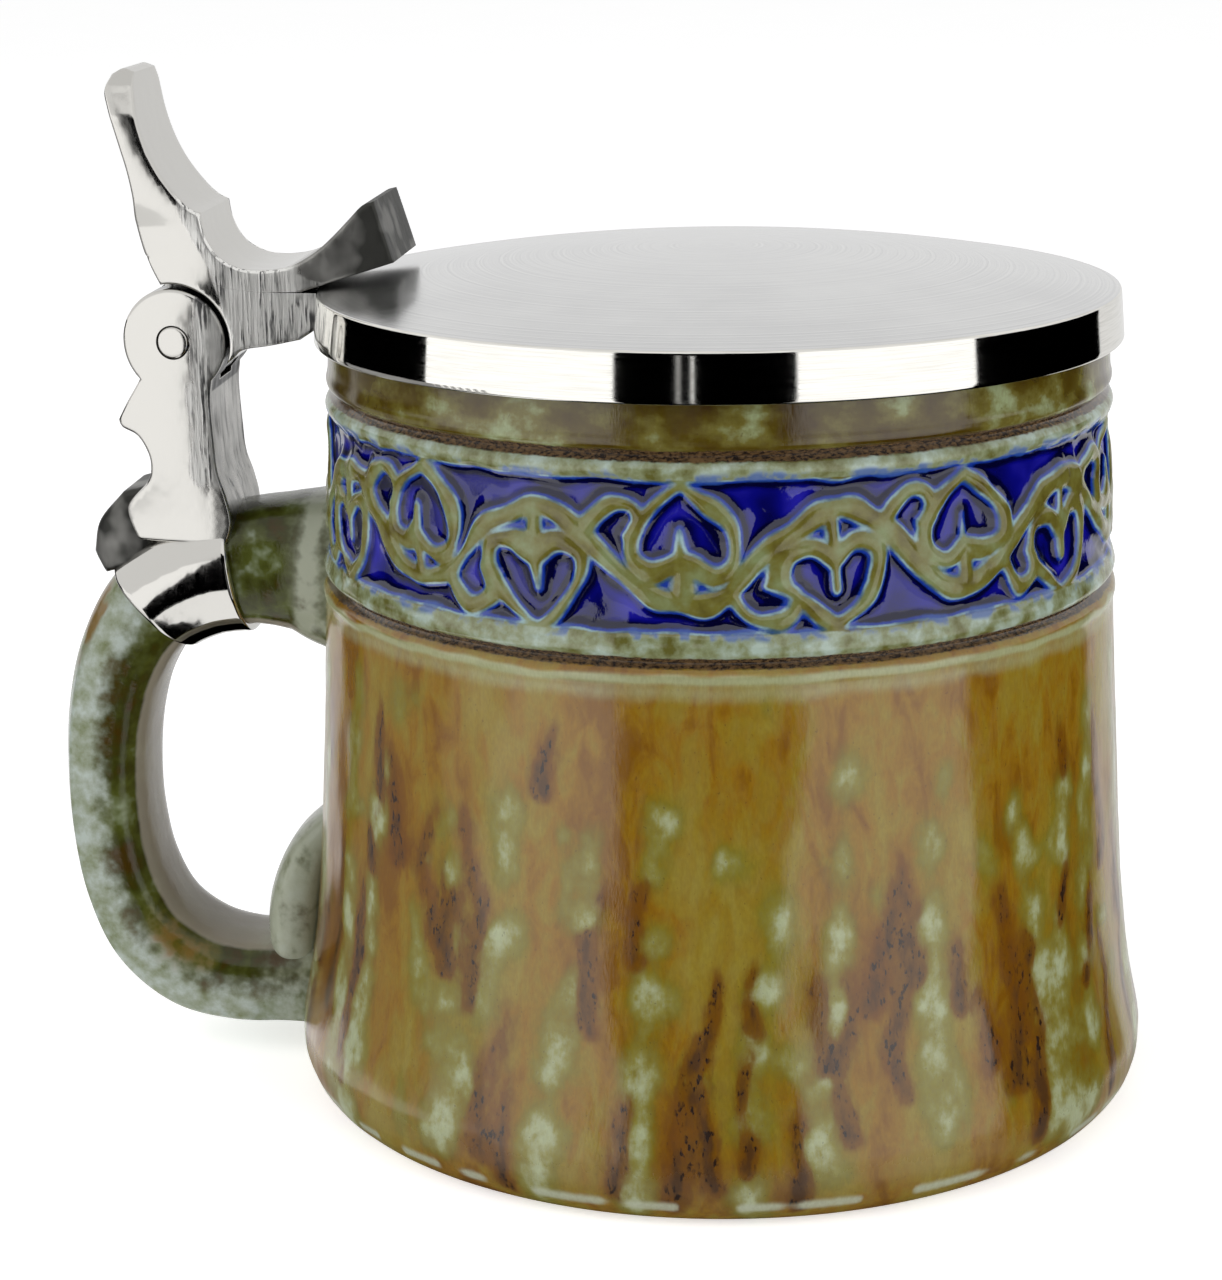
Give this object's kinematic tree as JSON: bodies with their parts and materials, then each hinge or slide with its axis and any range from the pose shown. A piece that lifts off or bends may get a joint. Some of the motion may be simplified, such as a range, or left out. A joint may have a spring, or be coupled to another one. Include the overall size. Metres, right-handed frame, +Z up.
{
  "type": "lidded beer stein",
  "caption": "Stoneware drinking mug with a loop handle and a hinged pewter lid that a thumb lift swings open.",
  "frame": {"origin": "on the vessel's axis, in the plane of the foot ring it stands on", "axes": "+Z up along the vessel's axis, -X towards the handle, Y along the lid's hinge pin"},
  "size_m": [0.1469, 0.1146, 0.1351],
  "materials": {
    "stoneware": "gloss salt glaze, amber and olive with a cobalt frieze",
    "stoneware_handle": "gloss salt glaze, olive with milky streaks",
    "pewter_strap": "polished",
    "pewter_bracket": "polished with brush marks",
    "pewter_pin": "polished",
    "pewter_shank": "polished with brush marks",
    "pewter_thumb_lift": "polished",
    "pewter_lid": "satin dome, polished rim"
  },
  "bodies": {
    "stein": {"mug_body": "stoneware", "handle": "stoneware_handle", "strap_band": "pewter_strap", "hinge_bracket": "pewter_bracket", "hinge_pin": "pewter_pin"},
    "lid": {"lid": "pewter_lid", "lid_shank": "pewter_shank", "thumb_lift": "pewter_thumb_lift"}
  },
  "joints": [
    {"name": "lid_hinge", "type": "hinge", "parent": "stein", "child": "lid", "pos_m": [-0.0706, 0, 0.1], "axis": [0, -1, 0], "range_deg": [0, 118]}
  ]
}
